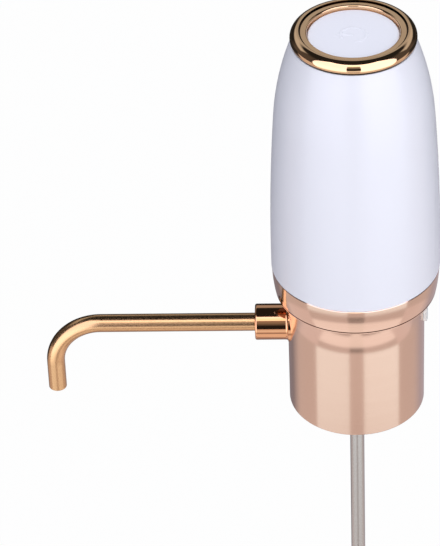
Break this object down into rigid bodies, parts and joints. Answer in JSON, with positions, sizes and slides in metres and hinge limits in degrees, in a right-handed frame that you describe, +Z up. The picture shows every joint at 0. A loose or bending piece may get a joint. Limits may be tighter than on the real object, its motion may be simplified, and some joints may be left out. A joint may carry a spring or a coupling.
{
  "type": "electric wine aerator",
  "caption": "Battery-driven bottle-top wine aerator: white barrel body with a push button, rose-gold cup, finned stopper, telescoping dip tube and swivelling bent spout.",
  "frame": {"origin": "on the axis, where the bottle's lip meets the underside of the stopper's seat flange", "axes": "+Z up along the axis towards the button, -X along the spout, +Y towards the air pump"},
  "size_m": [0.1746, 0.0732, 0.3268],
  "materials": {
    "rose_steel": "satin rose gold",
    "rose_ring": "satin rose gold",
    "white_gloss": "gloss white",
    "gold_polish": "polished gold",
    "gold_satin": "satin gold",
    "steel": "bare steel",
    "white_silicone": "matt white",
    "grey_silicone": "matt pale grey",
    "black_rubber": "matt black",
    "dark_plastic": "matt dark grey",
    "pale_plastic": "natural white",
    "board_green": "solder mask green",
    "cell_wrap": "blue sleeve",
    "nickel": "bright nickel",
    "magnet": "dark ferrite",
    "copper": "copper winding",
    "clear_hose": "clear soft hose"
  },
  "bodies": {
    "housing": {"base_cup": "rose_steel", "collar_ring": "rose_ring", "body_shell": "white_gloss", "top_trim_ring": "gold_polish", "tact_switch": "dark_plastic", "switch_board": "board_green", "board_screws": "steel", "chassis": "dark_plastic", "chassis_screws": "steel", "battery_cell": "cell_wrap", "battery_tabs": "nickel", "motor_can": "steel", "motor_magnets": "magnet", "motor_end_cap": "pale_plastic", "pump_housing": "pale_plastic", "diaphragm": "black_rubber", "valve_sheet": "black_rubber", "pump_head": "pale_plastic", "pump_screws": "steel", "air_hose": "clear_hose", "hose_nipple": "pale_plastic", "check_valve": "grey_silicone", "flow_block": "dark_plastic", "floor_plate": "dark_plastic", "floor_screws": "steel", "stopper": "grey_silicone", "dip_tube_outer": "steel", "dip_tube_collar": "dark_plastic", "dip_tube_seal": "black_rubber", "spout_socket": "gold_polish", "socket_seal": "black_rubber", "charge_board": "board_green", "charge_socket": "nickel", "port_strap": "white_silicone"},
    "button": {"push_button": "white_gloss", "switch_plunger": "dark_plastic"},
    "spout_rings": {"spout_seals": "black_rubber"},
    "spout": {"spout_tube": "gold_satin", "spout_plug": "steel"},
    "inner_tube": {"dip_tube_inner": "steel"},
    "cover": {"port_cover": "white_silicone"},
    "rotor": {"motor_shaft": "steel", "motor_armature": "copper", "crank": "pale_plastic"},
    "wobbler": {"wobble_plate": "pale_plastic", "wobble_pin": "steel"}
  },
  "joints": [
    {"name": "button_press", "type": "slide", "parent": "housing", "child": "button", "axis": [0, 0, -1], "range_m": [0, 0.001], "stiffness_N_per_m": 1500, "springref_m": -0.0006},
    {"name": "spout_pull", "type": "slide", "parent": "housing", "child": "spout_rings", "axis": [-1, 0, 0], "range_m": [0, 0.025]},
    {"name": "spout_swivel", "type": "hinge", "parent": "spout_rings", "child": "spout", "pos_m": [-0.038, 0, 0.0138], "axis": [1, 0, 0], "continuous": true},
    {"name": "tube_slide", "type": "slide", "parent": "housing", "child": "inner_tube", "axis": [0, 0, -1], "range_m": [0, 0.125]},
    {"name": "cover_swing", "type": "hinge", "parent": "housing", "child": "cover", "pos_m": [0.0308, 0, 0.0249], "axis": [0, -1, 0], "range_deg": [0, 110]},
    {"name": "motor_spin", "type": "hinge", "parent": "housing", "child": "rotor", "pos_m": [0, 0.012, 0.08], "axis": [0, 0, 1], "continuous": true, "deforming": ["diaphragm"]},
    {"name": "wobble_turn", "type": "hinge", "parent": "rotor", "child": "wobbler", "pos_m": [0, 0.012, 0.0595], "axis": [0.1392, 0, 0.9903], "continuous": true}
  ],
  "couplings": [
    {"joint": "wobble_turn", "follows": "motor_spin", "ratio": -1}
  ]
}
